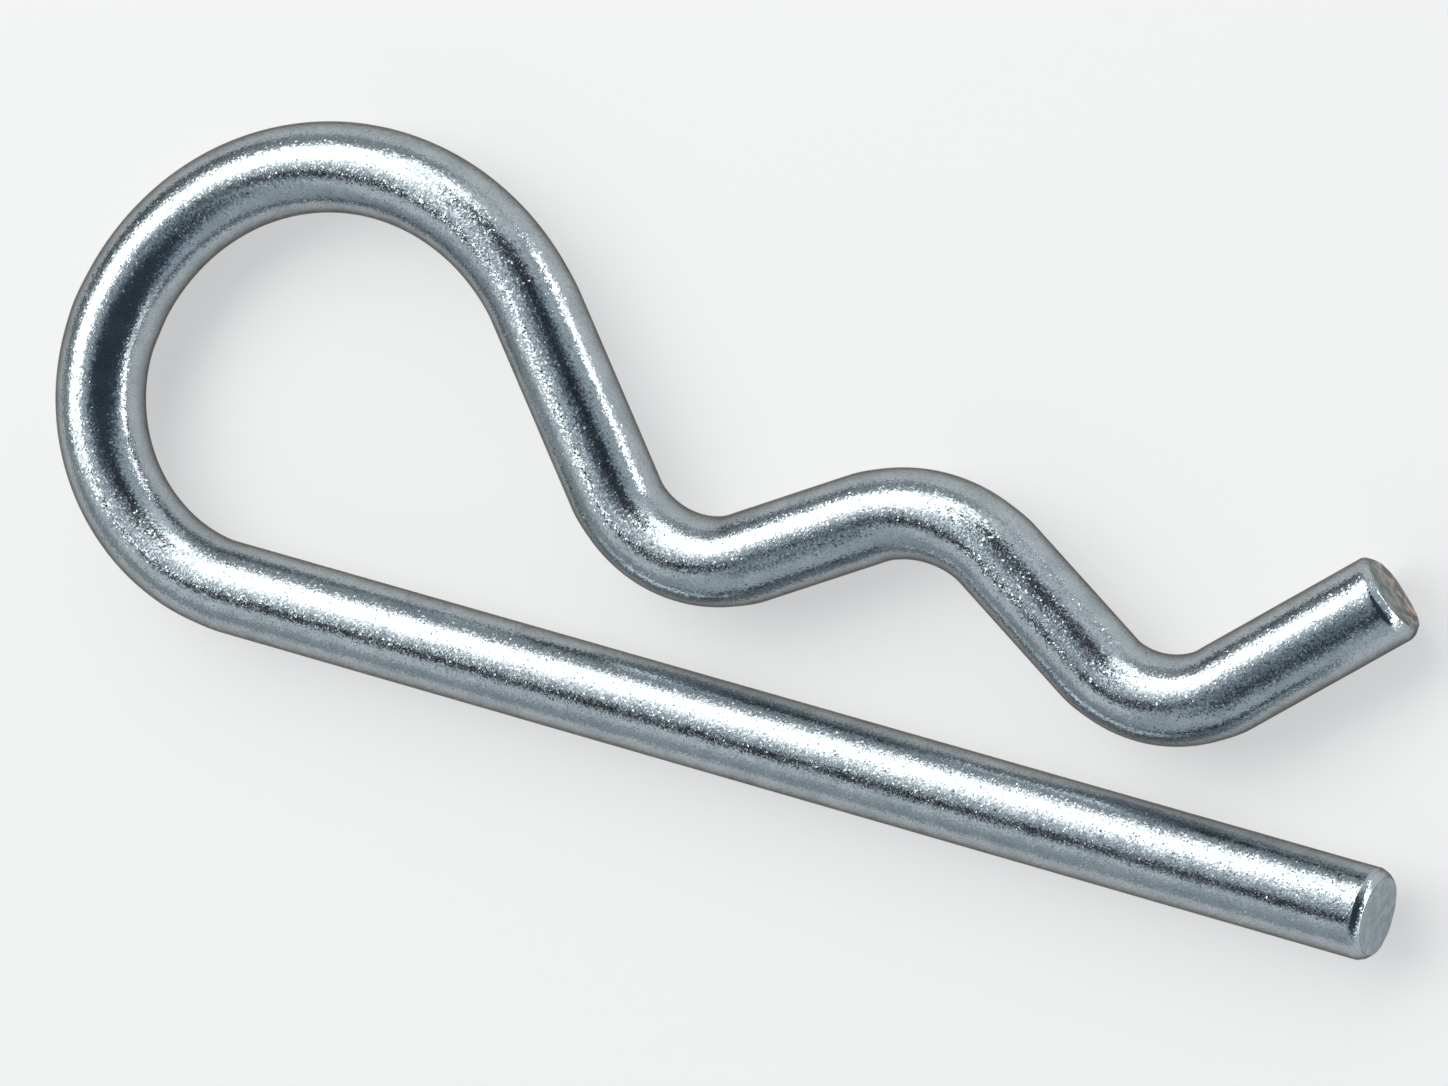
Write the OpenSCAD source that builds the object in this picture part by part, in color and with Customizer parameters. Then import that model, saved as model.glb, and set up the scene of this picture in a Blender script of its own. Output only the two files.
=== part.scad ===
// Hairpin cotter pin, bent from one length of round spring wire.
//
// The pin lies flat, with the wire's axis in the XY plane and the straight leg
// along the X axis. The leg's cut tip points towards +X, and the round eye lies
// towards -X. The wavy spring leg runs back from the eye beside the straight leg.
// The origin is the centre of the shaft that the pin holds: the straight leg
// goes through that shaft's cross hole, and the hump rides over the shaft.
// Bend radii are measured to the wire's axis. Lengths are in millimetres.

/* [Wire] */
// Diameter of the wire
wire_d = 4; // [3:0.1:5]
// Length of the bevel round each cut end, along the wire
bevel_l = 0.45; // [0.1:0.05:1.5]
// Depth of the bevel round each cut end, across the wire
bevel_w = 0.22; // [0.05:0.01:0.8]

/* [Straight leg] */
// Reach of the leg past the shaft's centre, up to its cut tip
tip_reach = 23.3; // [15:0.1:40]

/* [Eye] */
// Radius of the tighter bend where the leg turns into the eye
heel_r = 8.5; // [7:0.1:11]
// Angle of that bend
heel_angle = 100; // [90:1:110]
// Radius of the wide bend round the rest of the eye
crown_r = 11; // [9:0.1:14]

/* [Spring leg] */
// Slope of the run that comes down from the eye, against the straight leg
flank_slope = 50.5; // [40:0.5:60]
// Clear gap between the straight leg and the throat, the valley next to the eye
throat_gap = 2.65; // [1.5:0.05:4]
// Radius of the bend at the throat
throat_r = 5.3; // [4:0.1:7]
// Slope of the two runs that climb to the hump, one on each side of the shaft
seat_slope = 31.5; // [25:0.5:40]
// Radius of the hump over the shaft
hump_r = 6.2; // [4.5:0.1:8]
// Clear gap between the straight leg and the mouth, the valley at the open end
mouth_gap = 2.25; // [1.5:0.05:4]
// Radius of the bend at the mouth
mouth_r = 5; // [4:0.1:7]
// Slope of the tail that flares away from the straight leg
tail_slope = 42.5; // [30:0.5:60]
// Length of the straight tail, up to its cut face
tail_l = 8.3; // [4:0.1:15]

/* [Shaft that the pin holds] */
// Diameter of the largest shaft that doesn't spring the pin open
shaft_d = 16; // [14:0.5:20]
// Clearance between that shaft and the spring leg
shaft_play = 0.4; // [0.1:0.05:1]

/* [Hidden] */
$fn = 96;

// The wire is laid out in metres and enlarged to millimetres at the end, which
// keeps the rounding of its directions far below the size of any face
metre = 1000;

wire_r = wire_d / 2;

// Distances of the spring leg's bends from the straight leg's axis
throat_y = wire_d + throat_gap;
mouth_y = wire_d + mouth_gap;
hump_centre_y = (shaft_d / 2 + shaft_play + wire_r - hump_r) / cos(seat_slope);
hump_foot_y = hump_centre_y + hump_r * cos(seat_slope);

// How far a bend climbs while it turns between level and a slope
function climb(radius, slope) = radius * (1 - cos(slope));

// The crown's centre and its end, from the point where the leg meets the heel
crown_x = (crown_r - heel_r) * sin(heel_angle);
crown_y = heel_r + (crown_r - heel_r) * cos(heel_angle);
flank_top_x = crown_x + crown_r * sin(flank_slope);
flank_top_y = crown_y + crown_r * cos(flank_slope);

// Lengths of the straight runs that join the bends
flank_l = (flank_top_y - throat_y - climb(throat_r, flank_slope)) / sin(flank_slope);
rise_l = (hump_foot_y - throat_y - climb(throat_r, seat_slope)) / sin(seat_slope);
fall_l = (hump_foot_y - mouth_y - climb(mouth_r, seat_slope)) / sin(seat_slope);

// The shaft's centre, from the point where the leg meets the heel
throat_x = flank_top_x + flank_l * cos(flank_slope) + throat_r * sin(flank_slope);
shaft_x = throat_x + rise_l * cos(seat_slope) + (throat_r + hump_r) * sin(seat_slope);

// The next five modules each make one stretch of wire that starts at the origin
// along +X. What follows it is placed at its far end, along its new direction.

// Bevelled end that starts the wire, from its cut face
module first_end() {
    rotate([0, 90, 0])
        cylinder(h = bevel_l / metre, r1 = (wire_r - bevel_w) / metre, r2 = wire_r / metre);
    translate([bevel_l / metre, 0, 0])
        children();
}

// Straight run
module run(length) {
    rotate([0, 90, 0])
        cylinder(h = length / metre, r = wire_r / metre);
    translate([length / metre, 0, 0])
        children();
}

// Bend to the left, towards +Y
module left_bend(radius, angle) {
    translate([0, radius / metre, 0]) {
        rotate_extrude(start = -90, angle = angle)
            translate([radius / metre, 0])
                circle(r = wire_r / metre);
        rotate([0, 0, angle])
            translate([0, -radius / metre, 0])
                children();
    }
}

// Bend to the right, towards -Y
module right_bend(radius, angle) {
    translate([0, -radius / metre, 0]) {
        rotate_extrude(start = 90 - angle, angle = angle)
            translate([radius / metre, 0])
                circle(r = wire_r / metre);
        rotate([0, 0, -angle])
            translate([0, radius / metre, 0])
                children();
    }
}

// Bevelled end that closes the wire, up to its cut face
module last_end() {
    rotate([0, 90, 0])
        cylinder(h = bevel_l / metre, r1 = wire_r / metre, r2 = (wire_r - bevel_w) / metre);
}

// The whole wire, from the leg's tip round the eye to the end of the tail. Each
// line's stretch carries the lines below it.
module hairpin() {
    color("#9aa3a8")
        translate([tip_reach, 0, 0])
            rotate([0, 0, 180])
                scale(metre)
                    first_end()
                    run(tip_reach + shaft_x - bevel_l)
                    right_bend(heel_r, heel_angle)
                    right_bend(crown_r, 180 - heel_angle + flank_slope)
                    run(flank_l)
                    left_bend(throat_r, flank_slope + seat_slope)
                    run(rise_l)
                    right_bend(hump_r, 2 * seat_slope)
                    run(fall_l)
                    left_bend(mouth_r, seat_slope + tail_slope)
                    run(tail_l - bevel_l)
                    last_end();
}

hairpin();
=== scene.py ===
import math

import bmesh
import bpy
from mathutils import Matrix, Vector, noise


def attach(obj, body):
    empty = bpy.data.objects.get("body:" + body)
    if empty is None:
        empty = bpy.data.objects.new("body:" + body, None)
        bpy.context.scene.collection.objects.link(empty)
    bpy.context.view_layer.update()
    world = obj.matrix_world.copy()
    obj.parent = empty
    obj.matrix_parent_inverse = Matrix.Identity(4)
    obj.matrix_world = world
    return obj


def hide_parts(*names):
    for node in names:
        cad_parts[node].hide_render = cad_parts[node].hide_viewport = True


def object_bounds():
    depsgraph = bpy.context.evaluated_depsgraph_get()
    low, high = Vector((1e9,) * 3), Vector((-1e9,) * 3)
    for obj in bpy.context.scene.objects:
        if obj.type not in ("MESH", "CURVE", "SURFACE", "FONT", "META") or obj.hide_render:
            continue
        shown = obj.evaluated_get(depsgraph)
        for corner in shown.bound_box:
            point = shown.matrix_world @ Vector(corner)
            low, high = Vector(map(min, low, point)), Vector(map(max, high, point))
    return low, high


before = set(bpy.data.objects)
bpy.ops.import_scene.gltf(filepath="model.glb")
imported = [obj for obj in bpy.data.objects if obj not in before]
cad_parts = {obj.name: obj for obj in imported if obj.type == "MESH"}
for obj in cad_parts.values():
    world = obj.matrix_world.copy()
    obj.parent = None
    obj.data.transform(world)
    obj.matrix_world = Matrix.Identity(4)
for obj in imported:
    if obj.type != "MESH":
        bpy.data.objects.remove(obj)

cadBox = [list(corner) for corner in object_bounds()]
mm = 0.001
micron = 0.000001


# camera, at the photograph's viewing angle
cameraSetup = {
    "target": (-9.170, 7.658, 0.0),  # mm, what the middle of the picture shows
    "distance": 513.846,  # mm
    "azimuth": 14.528,  # degrees from +X towards +Y
    "elevation": 67.5,
    "roll": -90.0,
    "lens": 300.0,
    "sensorWidth": 36.0,
}


def makeCamera(setup):
    lensData = bpy.data.cameras.new("photoCamera")
    lensData.lens = setup["lens"]
    lensData.sensor_width = setup["sensorWidth"]
    eye = bpy.data.objects.new("photoCamera", lensData)
    bpy.context.scene.collection.objects.link(eye)
    aim = (Matrix.Rotation(math.radians(setup["azimuth"] + 90), 4, "Z")
           @ Matrix.Rotation(math.radians(90 - setup["elevation"]), 4, "X")
           @ Matrix.Rotation(math.radians(setup["roll"]), 4, "Z"))
    away = aim @ Vector((0, 0, setup["distance"]))
    eye.matrix_world = Matrix.Translation((Vector(setup["target"]) + away) * mm) @ aim
    bpy.context.scene.camera = eye


makeCamera(cameraSetup)
print("camera placed")


# helpers for node trees
def addNode(tree, kind, **settings):
    node = tree.nodes.new(kind)
    for name, value in settings.items():
        if hasattr(node, name):
            setattr(node, name, value)
        else:
            node.inputs[name.replace("_", " ")].default_value = value
    return node


def plugIn(tree, value, socket):  # value: another node's output or a fixed value
    if isinstance(value, bpy.types.NodeSocket):
        tree.links.new(value, socket)
    elif socket.type == "RGBA":
        socket.default_value = (*value, 1)
    else:
        socket.default_value = value


def doMaths(tree, operation, first, second):
    node = addNode(tree, "ShaderNodeMath", operation=operation)
    plugIn(tree, first, node.inputs[0])
    plugIn(tree, second, node.inputs[1])
    return node.outputs["Value"]


def doVectorMaths(tree, operation, first, second):
    node = addNode(tree, "ShaderNodeVectorMath", operation=operation)
    plugIn(tree, first, node.inputs[0])
    plugIn(tree, second, node.inputs["Scale" if operation == "SCALE" else 1])
    return node.outputs["Value" if operation == "DOT_PRODUCT" else "Vector"]


def rescale(tree, value, fromRange, toRange, kind="LINEAR"):
    node = addNode(tree, "ShaderNodeMapRange", interpolation_type=kind,
                   From_Min=fromRange[0], From_Max=fromRange[1],
                   To_Min=toRange[0], To_Max=toRange[1])
    plugIn(tree, value, node.inputs["Value"])
    return node.outputs["Result"]


def blend(tree, share, first, second, kind="RGBA"):
    node = addNode(tree, "ShaderNodeMix", data_type="RGBA" if kind == "RGBA" else "FLOAT")
    plugIn(tree, share, node.inputs["Factor"])
    ends = [socket for socket in node.inputs if socket.type == kind and socket.name != "Factor"]
    plugIn(tree, first, ends[0])
    plugIn(tree, second, ends[1])
    return next(socket for socket in node.outputs if socket.type == kind)


def rampColour(tree, value, stops):
    node = addNode(tree, "ShaderNodeValToRGB")
    ramp = node.color_ramp
    while len(ramp.elements) < len(stops):
        ramp.elements.new(0.5)
    for element, (place, colour) in zip(ramp.elements, stops):
        element.position = place
        element.color = (*colour, 1)
    plugIn(tree, value, node.inputs["Fac"])
    return node.outputs["Color"]


def splitUp(tree, value, part):
    node = addNode(tree, "ShaderNodeSeparateXYZ")
    plugIn(tree, value, node.inputs["Vector"])
    return node.outputs[part]


def noiseAt(tree, place, scale, detail, roughness):
    cloud = addNode(tree, "ShaderNodeTexNoise", Scale=scale, Detail=detail, Roughness=roughness)
    plugIn(tree, place, cloud.inputs["Vector"])
    return cloud.outputs["Fac"]


def bumpUp(tree, height, depth, below=None):
    bump = addNode(tree, "ShaderNodeBump", Strength=1.0, Distance=depth * micron)
    plugIn(tree, height, bump.inputs["Height"])
    if below:
        plugIn(tree, below, bump.inputs["Normal"])
    return bump.outputs["Normal"]


# studio: pale floor, dim room with dark places, softboxes
# directions are an azimuth and an angle from straight up, in degrees
studio = {
    "floorSize": 3.0,  # m, from the middle to an edge
    "floorColour": (0.90, 0.90, 0.90),
    "floorRoughness": 0.5,
    "floorWhiteness": 0.5,  # share that is plain white to the eye, so shadows stay light
    "darkSide": (-13.0, 36.0),
    "roomStops": [  # colours from the far side (0) to the middle of the dark side (1)
        (0.0, (0.35, 0.38, 0.40)),
        (0.50, (0.42, 0.46, 0.485)),
        (0.67, (0.54, 0.59, 0.62)),
        (0.78, (0.60, 0.66, 0.695)),
        (0.812, (0.66, 0.73, 0.77)),
        (0.837, (0.54, 0.61, 0.66)),
        (0.863, (0.36, 0.42, 0.47)),
        (0.881, (0.225, 0.275, 0.325)),
        (0.897, (0.13, 0.165, 0.205)),
        (0.926, (0.052, 0.070, 0.092)),
    ],
    # direction, half widths of the outer and inner edge in degrees, share of light left
    "darkSpots": [
        (225.0, 32.0, 14.0, 8.0, 0.04),
        (76.0, 35.0, 19.0, 10.0, 0.10),
        (108.0, 16.0, 11.0, 4.0, 0.45),
        (162.0, 97.0, 34.0, 14.0, 0.30),
        (279.0, 40.0, 14.0, 6.0, 0.50),
    ],
    "softboxDistance": 1.2,  # m
    "softboxes": {  # direction, width and height as shares of the distance, tilt, strength
        "keySoftboxLeft": (179, 47, (0.54, 0.52), 10, 2.7),
        "keySoftboxMiddle": (136, 45, (0.60, 0.56), 0, 2.5),
        "keySoftboxRight": (101, 57, (0.34, 0.34), 0, 2.1),
        "keyGlow": (150, 24, (0.30, 0.16), 0, 0.9),
        "lowSoftbox": (15, 87.2, (0.72, 0.09), 0, 12.0),
        "lowSoftboxEnd": (55, 86.6, (0.34, 0.115), 0, 6.5),
        "lowSoftboxStart": (338, 85.5, (0.46, 0.16), 0, 1.3),
        "sideGlow": (82, 72, (0.36, 0.45), 0, 0.35),
        "backGlow": (222, 54, (0.70, 0.45), 0, 0.28),
    },
    "lightColour": (1.0, 0.975, 0.94),
}


def skyDirection(azimuth, angle):
    a, t = math.radians(azimuth), math.radians(angle)
    return Vector((math.cos(a) * math.sin(t), math.sin(a) * math.sin(t), math.cos(t)))


def makeSoftbox(s, name, azimuth, angle, shares, tilt, strength):
    distance = s["softboxDistance"]
    lamp = bpy.data.lights.new(name, "AREA")
    lamp.shape = "RECTANGLE"
    lamp.size, lamp.size_y = (share * distance for share in shares)
    lamp.energy = strength * 4 * lamp.size * lamp.size_y  # a larger box is no brighter
    lamp.color = s["lightColour"]
    box = bpy.data.objects.new(name, lamp)
    bpy.context.scene.collection.objects.link(box)
    away = skyDirection(azimuth, angle)
    across = Vector((-away.y, away.x, 0)).normalized()
    rise = away.cross(across)
    facing = Matrix((across, rise, away)).transposed().to_4x4()
    box.matrix_world = (Matrix.Translation(away * distance) @ facing
                        @ Matrix.Rotation(math.radians(tilt), 4, "Z"))
    box.visible_camera = False


def makeShade(tree, direction, azimuth, angle, outer, inner, lightLeft):
    towards = doVectorMaths(tree, "DOT_PRODUCT", direction, skyDirection(azimuth, angle))
    edges = [math.cos(math.radians(width)) for width in (outer, inner)]
    return rescale(tree, towards, edges, (1.0, lightLeft), "SMOOTHSTEP")


def makeRoom(s):
    world = bpy.data.worlds.new("studioRoom")
    world.use_nodes = True
    bpy.context.scene.world = world
    tree = world.node_tree
    tree.nodes.clear()
    direction = addNode(tree, "ShaderNodeTexCoord").outputs["Generated"]
    towardsDark = doVectorMaths(tree, "DOT_PRODUCT", direction, skyDirection(*s["darkSide"]))
    colour = rampColour(tree, rescale(tree, towardsDark, (-1.0, 1.0), (0.0, 1.0)), s["roomStops"])
    strength = 1.0
    for spot in s["darkSpots"]:
        strength = doMaths(tree, "MULTIPLY", strength, makeShade(tree, direction, *spot))
    back = addNode(tree, "ShaderNodeBackground")
    out = addNode(tree, "ShaderNodeOutputWorld")
    joins = [(colour, back.inputs["Color"]), (strength, back.inputs["Strength"]),
             (back.outputs["Background"], out.inputs["Surface"])]
    for value, socket in joins:
        plugIn(tree, value, socket)


def makePaper(s):
    paper = bpy.data.materials.new("palePaper")
    paper.use_nodes = True
    tree = paper.node_tree
    shader = tree.nodes["Principled BSDF"]
    shader.inputs["Base Color"].default_value = (*s["floorColour"], 1)
    shader.inputs["Roughness"].default_value = s["floorRoughness"]
    white = addNode(tree, "ShaderNodeEmission", Strength=1.0)
    ray = addNode(tree, "ShaderNodeLightPath")
    seen = ray.outputs["Is Camera Ray"]
    for kind in ("Is Glossy Ray", "Is Transmission Ray"):
        seen = doMaths(tree, "MAXIMUM", seen, ray.outputs[kind])
    mixed = addNode(tree, "ShaderNodeMixShader")
    joins = [(doMaths(tree, "MULTIPLY", seen, s["floorWhiteness"]), mixed.inputs["Fac"]),
             (shader.outputs["BSDF"], mixed.inputs[1]),
             (white.outputs["Emission"], mixed.inputs[2]),
             (mixed.outputs["Shader"], tree.nodes["Material Output"].inputs["Surface"])]
    for value, socket in joins:
        plugIn(tree, value, socket)
    return paper


def makeFloor(s):
    bm = bmesh.new()
    level = Matrix.Translation((0, 0, cadBox[0][2]))
    bmesh.ops.create_grid(bm, x_segments=1, y_segments=1, size=s["floorSize"], matrix=level)
    mesh = bpy.data.meshes.new("studioFloor")
    bm.to_mesh(mesh)
    bm.free()
    floor = bpy.data.objects.new("studioFloor", mesh)
    bpy.context.scene.collection.objects.link(floor)
    mesh.materials.append(makePaper(s))


makeRoom(studio)
for name, box in studio["softboxes"].items():
    makeSoftbox(studio, name, *box)
makeFloor(studio)
bpy.context.scene.view_settings.view_transform = "Standard"
print("studio lit")


# the wire: a straight blank with finished ends, worn, then bent stretch by stretch
wire = {
    "radius": 2.0,  # mm, as every length here; bends are measured to the wire's middle
    "tipReach": 23.3,  # of the leg, from the middle of the shaft that the pin holds
    "heelRadius": 8.5,
    "heelTurn": 100.0,  # degrees, as every turn and slope here
    "crownRadius": 11.0,
    "flankSlope": 50.5,
    "throatGap": 2.65,  # clear of the leg
    "throatRadius": 5.3,
    "seatSlope": 31.5,
    "humpRadius": 6.2,
    "shaftRadius": 8.0,
    "shaftPlay": 0.4,  # between that shaft and the spring leg
    "mouthGap": 2.25,  # clear of the leg
    "mouthRadius": 5.0,
    "tailSlope": 42.5,
    "tailLength": 8.3,
    "sides": 80,
    "rings": 1030,
    "bevelRounding": 0.045,
    "bevelSegments": 3,
    "faceRings": 9,
    "flattening": 0.07,  # thinning in the bend's plane, times the wire's radius over the bend's
    "flatteningEase": 1.2,
    "swell": 0.003,  # uneven drawing of the wire
    "swellSpan": 1.6,
    "wobbleSpan": 0.5,  # of the unevenness of the rims of the cut faces
    "wearReach": 2.0,  # times the bevels' length
}
# the cut faces: two facets round each (length along the wire, depth across), turn to the wire's
# right and upwards in degrees, where the lower edge starts to roll over, how far it does, height of
# the unevenness and its span
cuts = {
    "leg": {"bevels": [(0.25, 0.10), (0.20, 0.19)], "turn": (0.0, 4.0), "rollStart": 0.6,
            "rollDepth": 0.10, "relief": 0.012, "reliefSpan": 0.8, "rimWobble": 0.014},
    "tail": {"bevels": [(0.14, 0.05), (0.28, 0.25)], "turn": (-5.0, 0.0), "rollStart": 0.8,
             "rollDepth": 0.16, "relief": 0.030, "reliefSpan": 0.45, "rimWobble": 0.022},
}


def sine(angle):
    return math.sin(math.radians(angle))


def cosine(angle):
    return math.cos(math.radians(angle))


def climb(radius, slope):  # of a bend that turns between level and a slope
    return radius * (1 - cosine(slope))


# each stretch: length of a run or radius of a bend, turn (left is positive); x counts from the heel
# and y from the leg
def planRoute(w):
    flank, seat, heelTurn = w["flankSlope"], w["seatSlope"], w["heelTurn"]
    crownRadius, throatRadius, humpRadius = w["crownRadius"], w["throatRadius"], w["humpRadius"]
    throatY = 2 * w["radius"] + w["throatGap"]
    mouthY = 2 * w["radius"] + w["mouthGap"]
    humpCentreY = (w["shaftRadius"] + w["shaftPlay"] + w["radius"] - humpRadius) / cosine(seat)
    humpFootY = humpCentreY + humpRadius * cosine(seat)
    step = crownRadius - w["heelRadius"]
    flankTopX = step * sine(heelTurn) + crownRadius * sine(flank)
    flankTopY = w["heelRadius"] + step * cosine(heelTurn) + crownRadius * cosine(flank)
    flankLength = (flankTopY - throatY - climb(throatRadius, flank)) / sine(flank)
    riseLength = (humpFootY - throatY - climb(throatRadius, seat)) / sine(seat)
    fallLength = (humpFootY - mouthY - climb(w["mouthRadius"], seat)) / sine(seat)
    throatX = flankTopX + flankLength * cosine(flank) + throatRadius * sine(flank)
    shaftX = throatX + riseLength * cosine(seat) + (throatRadius + humpRadius) * sine(seat)
    return [
        ("leg", w["tipReach"] + shaftX, 0),
        ("heel", w["heelRadius"], -heelTurn),
        ("crown", crownRadius, heelTurn - 180 - flank),
        ("flank", flankLength, 0),
        ("throat", throatRadius, flank + seat),
        ("rise", riseLength, 0),
        ("hump", humpRadius, -2 * seat),
        ("fall", fallLength, 0),
        ("mouth", w["mouthRadius"], seat + w["tailSlope"]),
        ("tail", w["tailLength"], 0),
    ]


def layOutRoute(w):
    stretches, along = [], 0.0
    place, heading = Vector((w["tipReach"] * mm, 0, 0)), math.pi
    for name, size, turn in planRoute(w):
        size, turn = size * mm, math.radians(turn)
        length = size * abs(turn) if turn else size
        stretches.append({"name": name, "start": along, "length": length, "size": size,
                          "turn": turn, "place": place, "heading": heading})
        place, heading = followStretch(stretches[-1], length)
        along += length
    return stretches, along


def followStretch(stretch, distance):
    place, heading = stretch["place"], stretch["heading"]
    size, turn = stretch["size"], stretch["turn"]
    if not turn:
        return place + Vector((math.cos(heading), math.sin(heading), 0)) * distance, heading
    bend = math.copysign(distance / size, turn)
    spoke = Vector((math.sin(heading), -math.cos(heading), 0)) * math.copysign(size, turn)
    return place - spoke + Matrix.Rotation(bend, 3, "Z") @ spoke, heading + bend


def stretchAt(stretches, along):
    passed = [stretch for stretch in stretches if stretch["start"] <= along + micron]
    return passed[-1] if passed else stretches[0]


def cutAt(along, length):
    return cuts["leg" if along < length / 2 else "tail"]


def bevelSize(cut):  # length along the wire and depth across it
    return [sum(facet[way] for facet in cut["bevels"]) * mm for way in (0, 1)]


def easeIn(share):
    share = min(1.0, max(0.0, share))
    return share * share * (3 - 2 * share)


def bigFaces(bm):
    return [face for face in bm.faces if len(face.verts) > 4]


def makeBlank(w, length):
    bm = bmesh.new()
    radius = w["radius"] * mm
    start, end = bevelSize(cuts["leg"])[0], length - bevelSize(cuts["tail"])[0]
    middle = Matrix.Translation(((start + end) / 2, 0, 0))
    layDown = middle @ Matrix.Rotation(math.radians(90), 4, "Y")
    bmesh.ops.create_cone(bm, cap_ends=True, segments=w["sides"], radius1=radius, radius2=radius,
                          depth=end - start, matrix=layDown)
    for cap in bigFaces(bm):
        along = cap.calc_center_median().x
        outwards = math.copysign(1, along - length / 2)
        rims = set(cap.edges)
        for long, deep in cutAt(along, length)["bevels"]:
            bmesh.ops.inset_region(bm, faces=[cap], thickness=deep * mm)
            bmesh.ops.translate(bm, vec=(outwards * long * mm, 0, 0), verts=cap.verts)
            rims |= set(cap.edges)
        bmesh.ops.bevel(bm, geom=list(rims), offset=w["bevelRounding"] * mm, affect="EDGES",
                        segments=w["bevelSegments"], profile=0.5, material=-1)
    for cap in bigFaces(bm):
        across = cap.calc_perimeter() / math.tau
        for _ in range(w["faceRings"]):
            bmesh.ops.inset_region(bm, faces=[cap], thickness=across / (w["faceRings"] + 1))
        bmesh.ops.poke(bm, faces=[cap])
    lengthwise = [e for e in bm.edges if abs(e.verts[0].co.x - e.verts[1].co.x) > length / 2]
    bmesh.ops.subdivide_edges(bm, edges=lengthwise, cuts=w["rings"] - 1, use_grid_fill=True)
    return bm


def markBlank(bm, w, length):
    straight = bm.verts.layers.float_vector.new("wireSpace")
    cutFace = bm.verts.layers.float.new("cutFace")
    for v in bm.verts:
        v[straight] = v.co
        fromEnd = min(v.co.x, length - v.co.x)
        faceRadius = w["radius"] * mm - bevelSize(cutAt(v.co.x, length))[1]
        v[cutFace] = float(fromEnd < micron and v.co.yz.length < faceRadius)


def wearEnds(bm, w, length):
    for v in bm.verts:
        fromEnd = min(v.co.x, length - v.co.x)
        cut = cutAt(v.co.x, length)
        reach = w["wearReach"] * bevelSize(cut)[0]
        if fromEnd > reach:
            continue
        inwards = 1 if v.co.x < length / 2 else -1
        turnRight, turnUpwards = (math.tan(math.radians(angle)) for angle in cut["turn"])
        recess = turnRight * v.co.y + turnUpwards * v.co.z
        rollStart = cut["rollStart"] * mm
        roll = max(0.0, -v.co.z - rollStart) / (w["radius"] * mm - rollStart)
        recess += cut["rollDepth"] * mm * roll ** 2
        wobble = 0.0
        if fromEnd < micron:
            recess += cut["relief"] * mm * noise.noise(v.co / (cut["reliefSpan"] * mm))
        else:
            wobble = cut["rimWobble"] * mm * noise.noise(v.co / (w["wobbleSpan"] * mm))
        v.co.x += inwards * (recess * (1 - fromEnd / reach) + wobble)


def wearWire(bm, w, stretches):
    for v in bm.verts:
        swell = noise.noise(v.co / (w["swellSpan"] * mm)) * w["swell"] / w["radius"]
        v.co.yz *= 1 + swell
        stretch = stretchAt(stretches, v.co.x)
        if stretch["turn"]:
            passed = v.co.x - stretch["start"]
            fromJoint = min(passed, stretch["length"] - passed)
            thinning = w["flattening"] * w["radius"] * mm / stretch["size"]
            v.co.y *= 1 - thinning * easeIn(fromJoint / (w["flatteningEase"] * mm))


def bendBlank(bm, stretches):
    for v in bm.verts:
        stretch = stretchAt(stretches, v.co.x)
        place, heading = followStretch(stretch, v.co.x - stretch["start"])
        sideways = Vector((math.sin(heading), -math.cos(heading), 0))
        v.co = place + sideways * v.co.y + Vector((0, 0, v.co.z))


def makePin(w):
    stretches, length = layOutRoute(w)
    bm = makeBlank(w, length)
    markBlank(bm, w, length)
    wearEnds(bm, w, length)
    wearWire(bm, w, stretches)
    bendBlank(bm, stretches)
    bmesh.ops.recalc_face_normals(bm, faces=bm.faces)
    for face in bm.faces:
        face.smooth = True
    mesh = bpy.data.meshes.new("springWire")
    bm.to_mesh(mesh)
    bm.free()
    pin = bpy.data.objects.new("springWire", mesh)
    bpy.context.scene.collection.objects.link(pin)
    bends = ", ".join(stretch["name"] for stretch in stretches if stretch["turn"])
    print("wire bent:", round(length / mm, 2), "mm long,", len(mesh.polygons), "faces,", bends)
    return pin


# bright zinc plating: clouds are a noise's scale per metre, detail and roughness, edges the two
# texture values between which one look turns into the next, depths in microns
zinc = {
    "darkTone": (0.37, 0.42, 0.45),
    "lightTone": (0.45, 0.50, 0.53),
    "toneClouds": (900.0, 4.0, 0.6),
    "toneEdges": (0.35, 0.65),
    "speckClouds": (11000.0, 3.0, 0.6),
    "speckEdges": (0.36, 0.50),
    "speckTone": 0.76,  # share of the colour left in the fine dark specks
    "edgeTint": (0.30, 0.25, 0.21),
    "roughness": (0.12, 0.19),
    "roughnessClouds": (1500.0, 4.0, 0.5),
    "roughnessEdges": (0.3, 0.7),
    "rippleClouds": (2400.0, 1.0, 0.5),
    "rippleDepth": 1.4,
    "drawScale": (60.0, 5200.0, 5200.0),  # along the wire, and across it twice
    "drawClouds": (1.0, 3.0, 0.5),
    "drawDepth": 1.2,
    "grainClouds": (9500.0, 2.0, 0.6),
    "grainEdges": (0.47, 0.61),
    "grainDepth": 2.0,
    "smoothPatchClouds": (1300.0, 3.0, 0.5),
    "smoothPatchEdges": (0.38, 0.58),
    "smoothPatchGrain": 0.35,  # share of the grain that stays there
    "fineClouds": (21000.0, 1.0, 0.5),
    "fineDepth": 1.2,
    "pitScale": 2600.0,
    "pitSize": 0.16,  # as a share of a cell
    "pitShare": 0.16,  # share of the cells that have a pit
    "pitDepth": 16.0,
    "crystalScale": 13500.0,
    "crystalTilt": (0.085, 0.27),  # of the common crystals and of the few steep ones
    "steepEdges": (0.62, 1.0),
}
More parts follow.
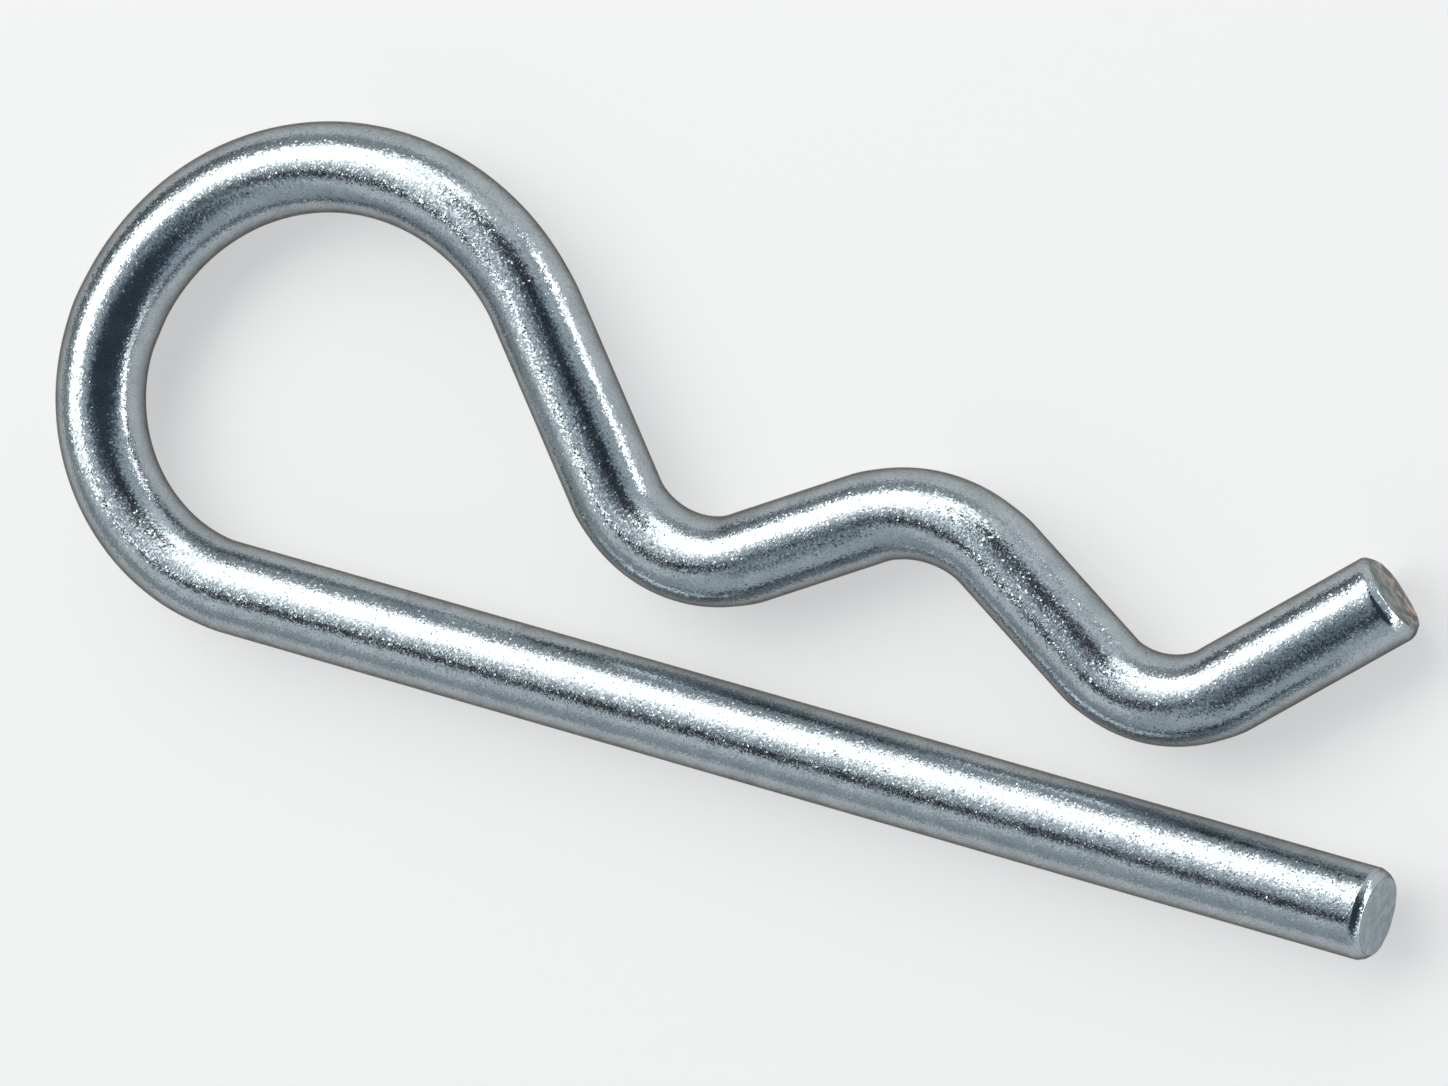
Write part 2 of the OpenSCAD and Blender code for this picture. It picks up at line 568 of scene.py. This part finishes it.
# bare steel of the cut faces: a dark and a light tone and a relief depth for each end
cutSteel = {
    "tailStart": (0.05, 0.06),  # m along the wire, anywhere between its two ends
    "legTones": ((0.25, 0.31, 0.325), (0.37, 0.43, 0.45)),
    "legDepth": 5.0,
    "tailTones": ((0.075, 0.09, 0.085), (0.28, 0.30, 0.285)),
    "tailDepth": 26.0,
    "clouds": (2300.0, 5.0, 0.62),
    "toneEdges": (0.36, 0.64),
    "roughness": (0.36, 0.52),
    "edgeTint": (0.95, 0.97, 1.0),
    "rustAndReflectionTone": (0.62, 0.33, 0.20),  # reddish marks on the tail's face, partly rust and partly a painted warm reflection
    "rustAndReflectionClouds": (2300.0, 4.0, 0.6),
    "rustAndReflectionEdges": (0.50, 0.57),
    "rustAndReflectionHeight": (0.0002, -0.0011),  # m above the wire's middle where they start and are full
    "rimDarkLine": (0.05, 0.045, 0.04),  # thin dark line round the faces
    "rimDarkLineEdges": ((0.0, 0.08), (0.40, 0.75)),  # where it comes and where it goes
}


def paintSurface(tree, z, steel, place, onFace, atTail, mottle):
    tones = list(zip(z["toneEdges"], (z["darkTone"], z["lightTone"])))
    tone = rampColour(tree, noiseAt(tree, place, *z["toneClouds"]), tones)
    specks = rescale(tree, noiseAt(tree, place, *z["speckClouds"]), z["speckEdges"],
                     (z["speckTone"], 1.0))
    plating = doVectorMaths(tree, "SCALE", tone, specks)
    mottling = rescale(tree, mottle, steel["toneEdges"], (0, 1))
    # reddish marks low on the tail's face: partly rust, partly a painted warm reflection
    spots = rescale(tree, noiseAt(tree, place, *steel["rustAndReflectionClouds"]), steel["rustAndReflectionEdges"], (0, 1))
    low = rescale(tree, splitUp(tree, place, "Z"), steel["rustAndReflectionHeight"], (0, 1))
    rustAndReflection = doMaths(tree, "MULTIPLY", spots, low)
    tailTone = blend(tree, rustAndReflection, blend(tree, mottling, *steel["tailTones"]), steel["rustAndReflectionTone"])
    faceTone = blend(tree, atTail, blend(tree, mottling, *steel["legTones"]), tailTone)
    # a thin dark line painted round the cut faces, where they meet the bevels
    comes, goes = steel["rimDarkLineEdges"]
    darkLine = doMaths(tree, "MULTIPLY", rescale(tree, onFace, comes, (0, 1)),
                   rescale(tree, onFace, goes, (1, 0)))
    return blend(tree, darkLine, blend(tree, onFace, plating, faceTone), steel["rimDarkLine"])


def scatterPits(tree, z, place):
    cells = addNode(tree, "ShaderNodeTexVoronoi", Scale=z["pitScale"])
    channels = addNode(tree, "ShaderNodeSeparateColor")
    plugIn(tree, place, cells.inputs["Vector"])
    plugIn(tree, cells.outputs["Color"], channels.inputs["Color"])
    hollow = rescale(tree, cells.outputs["Distance"], (z["pitSize"], 0.0), (0.0, -1.0),
                     "SMOOTHSTEP")
    chosen = doMaths(tree, "LESS_THAN", channels.outputs["Red"], z["pitShare"])
    return doMaths(tree, "MULTIPLY", hollow, chosen)


def growGrain(tree, z, place):
    grains = rescale(tree, noiseAt(tree, place, *z["grainClouds"]), z["grainEdges"], (0, 1),
                     "SMOOTHSTEP")
    kept = rescale(tree, noiseAt(tree, place, *z["smoothPatchClouds"]), z["smoothPatchEdges"],
                   (z["smoothPatchGrain"], 1.0))
    return doMaths(tree, "MULTIPLY", grains, kept)


def tiltCrystals(tree, z, place, normal):  # each small cell is a facet with its own lean
    cells = addNode(tree, "ShaderNodeTexVoronoi", Scale=z["crystalScale"])
    pick = addNode(tree, "ShaderNodeTexWhiteNoise")
    plugIn(tree, place, cells.inputs["Vector"])
    plugIn(tree, cells.outputs["Position"], pick.inputs["Vector"])
    middle = (0.5, 0.5, 0.5)  # of the cells' colours, which become the leans
    lean = doVectorMaths(tree, "SUBTRACT", cells.outputs["Color"], middle)
    tilt = rescale(tree, pick.outputs["Value"], z["steepEdges"], z["crystalTilt"], "SMOOTHSTEP")
    tilted = doVectorMaths(tree, "ADD", normal, doVectorMaths(tree, "SCALE", lean, tilt))
    unit = addNode(tree, "ShaderNodeVectorMath", operation="NORMALIZE")
    plugIn(tree, tilted, unit.inputs[0])
    return unit.outputs["Vector"]


def shapeSurface(tree, z, steel, place, onFace, atTail, mottle):
    stretched = addNode(tree, "ShaderNodeMapping", vector_type="POINT")
    stretched.inputs["Scale"].default_value = z["drawScale"]
    plugIn(tree, place, stretched.inputs["Vector"])
    drawn = noiseAt(tree, stretched.outputs["Vector"], *z["drawClouds"])
    normal = bumpUp(tree, noiseAt(tree, place, *z["rippleClouds"]), z["rippleDepth"])
    normal = bumpUp(tree, drawn, z["drawDepth"], normal)
    normal = bumpUp(tree, growGrain(tree, z, place), z["grainDepth"], normal)
    normal = bumpUp(tree, noiseAt(tree, place, *z["fineClouds"]), z["fineDepth"], normal)
    normal = bumpUp(tree, scatterPits(tree, z, place), z["pitDepth"], normal)
    legShare = steel["legDepth"] / steel["tailDepth"]
    relief = doMaths(tree, "MULTIPLY", mottle, rescale(tree, atTail, (0, 1), (legShare, 1)))
    normal = bumpUp(tree, doMaths(tree, "MULTIPLY", relief, onFace), steel["tailDepth"], normal)
    return tiltCrystals(tree, z, place, normal)


def makeZinc(z, steel):
    material = bpy.data.materials.new("zincPlating")
    material.use_nodes = True
    tree = material.node_tree
    shader = tree.nodes["Principled BSDF"]
    shader.inputs["Metallic"].default_value = 1
    place = addNode(tree, "ShaderNodeAttribute", attribute_name="wireSpace").outputs["Vector"]
    onFace = addNode(tree, "ShaderNodeAttribute", attribute_name="cutFace").outputs["Fac"]
    atTail = rescale(tree, splitUp(tree, place, "X"), steel["tailStart"], (0, 1))
    mottle = noiseAt(tree, place, *steel["clouds"])
    patches = noiseAt(tree, place, *z["roughnessClouds"])
    roughness = blend(tree, onFace, rescale(tree, patches, z["roughnessEdges"], z["roughness"]),
                      rescale(tree, patches, z["roughnessEdges"], steel["roughness"]), "VALUE")
    looks = {
        "Base Color": paintSurface(tree, z, steel, place, onFace, atTail, mottle),
        "Specular Tint": blend(tree, onFace, z["edgeTint"], steel["edgeTint"]),
        "Roughness": roughness,
        "Normal": shapeSurface(tree, z, steel, place, onFace, atTail, mottle),
    }
    for name, value in looks.items():
        plugIn(tree, value, shader.inputs[name])
    return material


pin = makePin(wire)
pin.data.materials.append(makeZinc(zinc, cutSteel))
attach(pin, "root")
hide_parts("hairpin")
print("zinc plated")
